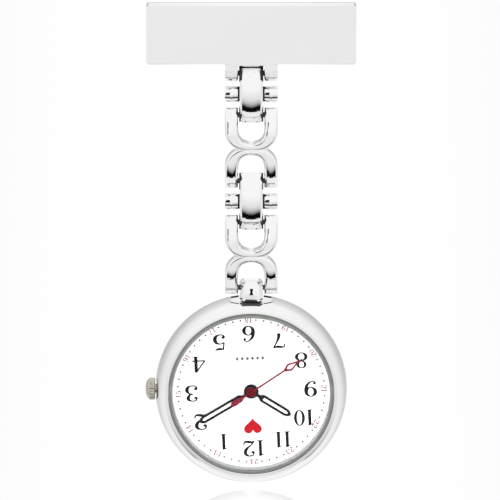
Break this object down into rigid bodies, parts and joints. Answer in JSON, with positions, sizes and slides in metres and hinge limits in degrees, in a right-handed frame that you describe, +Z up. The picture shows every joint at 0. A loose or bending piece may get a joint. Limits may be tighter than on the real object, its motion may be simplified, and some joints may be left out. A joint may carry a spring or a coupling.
{
  "type": "fob watch",
  "caption": "Round quartz fob watch that hangs upside down from a plain brooch bar on a chain of hinged links, with a pin and safety catch behind the bar.",
  "frame": {"origin": "middle of the brooch's pin stem, on its axis, where the stem holds the cloth", "axes": "+Z up along the hanging chain, +X to the viewer's right along the brooch bar, the dial and the bar's face towards -Y, the cloth towards +Y"},
  "size_m": [0.0328, 0.0081, 0.0764],
  "materials": {
    "chrome": "polished stainless steel",
    "brushed_steel": "fine brushed stainless steel",
    "nickel": "warm nickel plate on brass",
    "brass": "fine turned brass",
    "glass": "flat polished mineral glass",
    "dial_white": "white lacquer with printed numbers",
    "hand_black": "black lacquer with a white centre",
    "hand_red": "dark red lacquer",
    "rubber": "black seal rubber",
    "plastic": "moulded plastic",
    "copper": "enamelled copper winding",
    "board": "green circuit board",
    "chip": "black moulded epoxy",
    "magnet": "sintered magnet"
  },
  "bodies": {
    "brooch": {"brooch_plate": "chrome", "pin_base_strip": "brushed_steel", "pin_hinge_bracket": "brushed_steel", "pin_hinge_rivet": "brushed_steel", "catch_body": "brushed_steel", "hinge_pin_1": "brushed_steel"},
    "stem_wire": {"pin_stem": "brushed_steel"},
    "roller": {"catch_roller": "brushed_steel"},
    "upper_cross": {"cross_link_upper": "chrome"},
    "upper_double": {"double_link_upper": "chrome", "hinge_pin_2": "brushed_steel", "hinge_pin_3": "brushed_steel"},
    "lower_cross": {"cross_link_lower": "chrome"},
    "lower_double": {"double_link_lower": "chrome", "hinge_pin_4": "brushed_steel", "hinge_pin_5": "brushed_steel"},
    "watch": {"bail": "chrome", "case_body": "chrome", "case_back": "brushed_steel", "case_back_gasket": "rubber", "crystal": "glass", "crystal_gasket": "rubber", "stem_tube": "nickel", "movement_ring": "plastic", "dial": "dial_white", "main_plate": "brass", "train_bridge": "nickel", "bridge_screw_1": "brushed_steel", "bridge_screw_2": "brushed_steel", "clamp_screw": "brushed_steel", "stator": "nickel", "coil": "copper", "coil_core": "brushed_steel", "circuit_board": "board", "circuit_chip": "chip", "quartz_can": "nickel", "battery": "brushed_steel", "battery_clamp": "brushed_steel", "yoke": "brushed_steel"},
    "clutch": {"clutch_wheel": "brushed_steel"},
    "crown_and_stem": {"crown": "nickel", "setting_stem": "brushed_steel"},
    "lever": {"setting_lever": "brushed_steel"},
    "minute_arbor": {"centre_wheel": "brass", "cannon_pinion": "nickel", "minute_hand": "hand_black"},
    "hour_arbor": {"hour_wheel": "brass", "hour_hand": "hand_black"},
    "seconds_arbor": {"fourth_wheel": "brass", "second_hand": "hand_red"},
    "minute_wheel_body": {"minute_wheel": "brass"},
    "setting_wheel_body": {"setting_wheel": "brass"},
    "third_wheel_body": {"third_wheel": "brass"},
    "fifth_wheel_body": {"fifth_wheel": "plastic"},
    "rotor_body": {"rotor": "magnet"}
  },
  "joints": [
    {"name": "pin_stem_swing", "type": "hinge", "parent": "brooch", "child": "stem_wire", "pos_m": [0.0115, 0, 0], "axis": [0, 0, -1], "range_deg": [0, 80]},
    {"name": "catch_roller_turn", "type": "hinge", "parent": "brooch", "child": "roller", "pos_m": [-0.0095, 0, 0], "axis": [-1, 0, 0], "range_deg": [0, 120]},
    {"name": "chain_hinge_1", "type": "hinge", "parent": "brooch", "child": "upper_cross", "pos_m": [0, -0.0026, -0.0063], "axis": [-1, 0, 0], "range_deg": [-80, 80]},
    {"name": "chain_hinge_2", "type": "hinge", "parent": "upper_cross", "child": "upper_double", "pos_m": [0, -0.0026, -0.0129], "axis": [1, 0, 0], "range_deg": [-80, 80]},
    {"name": "chain_hinge_3", "type": "hinge", "parent": "upper_double", "child": "lower_cross", "pos_m": [0, -0.0026, -0.0234], "axis": [-1, 0, 0], "range_deg": [-80, 80]},
    {"name": "chain_hinge_4", "type": "hinge", "parent": "lower_cross", "child": "lower_double", "pos_m": [0, -0.0026, -0.03], "axis": [1, 0, 0], "range_deg": [-80, 80]},
    {"name": "chain_hinge_5", "type": "hinge", "parent": "lower_double", "child": "watch", "pos_m": [0, -0.0026, -0.0405], "axis": [-1, 0, 0], "range_deg": [-80, 80]},
    {"name": "crown_turn", "type": "hinge", "parent": "watch", "child": "clutch", "pos_m": [-0.00415, -0.00295, -0.0568], "axis": [-1, 0, 0], "continuous": true},
    {"name": "crown_pull", "type": "slide", "parent": "clutch", "child": "crown_and_stem", "axis": [-1, 0, 0], "range_m": [0, 0.0009]},
    {"name": "setting_lever_swing", "type": "hinge", "parent": "watch", "child": "lever", "pos_m": [-0.00645, -0.0026, -0.0548], "axis": [0, 1, 0], "range_deg": [0, 25.5]},
    {"name": "minute_hand_turn", "type": "hinge", "parent": "watch", "child": "minute_arbor", "pos_m": [0, -0.0026, -0.0568], "axis": [0, 1, 0], "continuous": true},
    {"name": "hour_hand_turn", "type": "hinge", "parent": "watch", "child": "hour_arbor", "pos_m": [0, -0.0026, -0.0568], "axis": [0, 1, 0], "continuous": true},
    {"name": "second_hand_turn", "type": "hinge", "parent": "watch", "child": "seconds_arbor", "pos_m": [0, -0.0026, -0.0568], "axis": [0, 1, 0], "continuous": true},
    {"name": "minute_wheel_turn", "type": "hinge", "parent": "watch", "child": "minute_wheel_body", "pos_m": [-0.00105, -0.0026, -0.05464], "axis": [0, 1, 0], "continuous": true},
    {"name": "setting_wheel_turn", "type": "hinge", "parent": "watch", "child": "setting_wheel_body", "pos_m": [-0.0025, -0.0026, -0.0568], "axis": [0, 1, 0], "continuous": true},
    {"name": "third_wheel_turn", "type": "hinge", "parent": "watch", "child": "third_wheel_body", "pos_m": [-0.00105, -0.0026, -0.05968], "axis": [0, 1, 0], "continuous": true},
    {"name": "fifth_wheel_turn", "type": "hinge", "parent": "watch", "child": "fifth_wheel_body", "pos_m": [0.00271, -0.0026, -0.05837], "axis": [0, 1, 0], "continuous": true},
    {"name": "rotor_turn", "type": "hinge", "parent": "watch", "child": "rotor_body", "pos_m": [0.00414, -0.0026, -0.06007], "axis": [0, 1, 0], "continuous": true}
  ],
  "couplings": [
    {"joint": "setting_lever_swing", "follows": "crown_pull", "rad_per_m": 491.8},
    {"joint": "hour_hand_turn", "follows": "minute_hand_turn", "ratio": 0.083333},
    {"joint": "second_hand_turn", "follows": "minute_hand_turn", "ratio": 60},
    {"joint": "minute_wheel_turn", "follows": "minute_hand_turn", "ratio": -0.33333},
    {"joint": "setting_wheel_turn", "follows": "minute_hand_turn", "ratio": 0.76923},
    {"joint": "third_wheel_turn", "follows": "minute_hand_turn", "ratio": -8},
    {"joint": "fifth_wheel_turn", "follows": "minute_hand_turn", "ratio": -300},
    {"joint": "rotor_turn", "follows": "minute_hand_turn", "ratio": 1800}
  ]
}
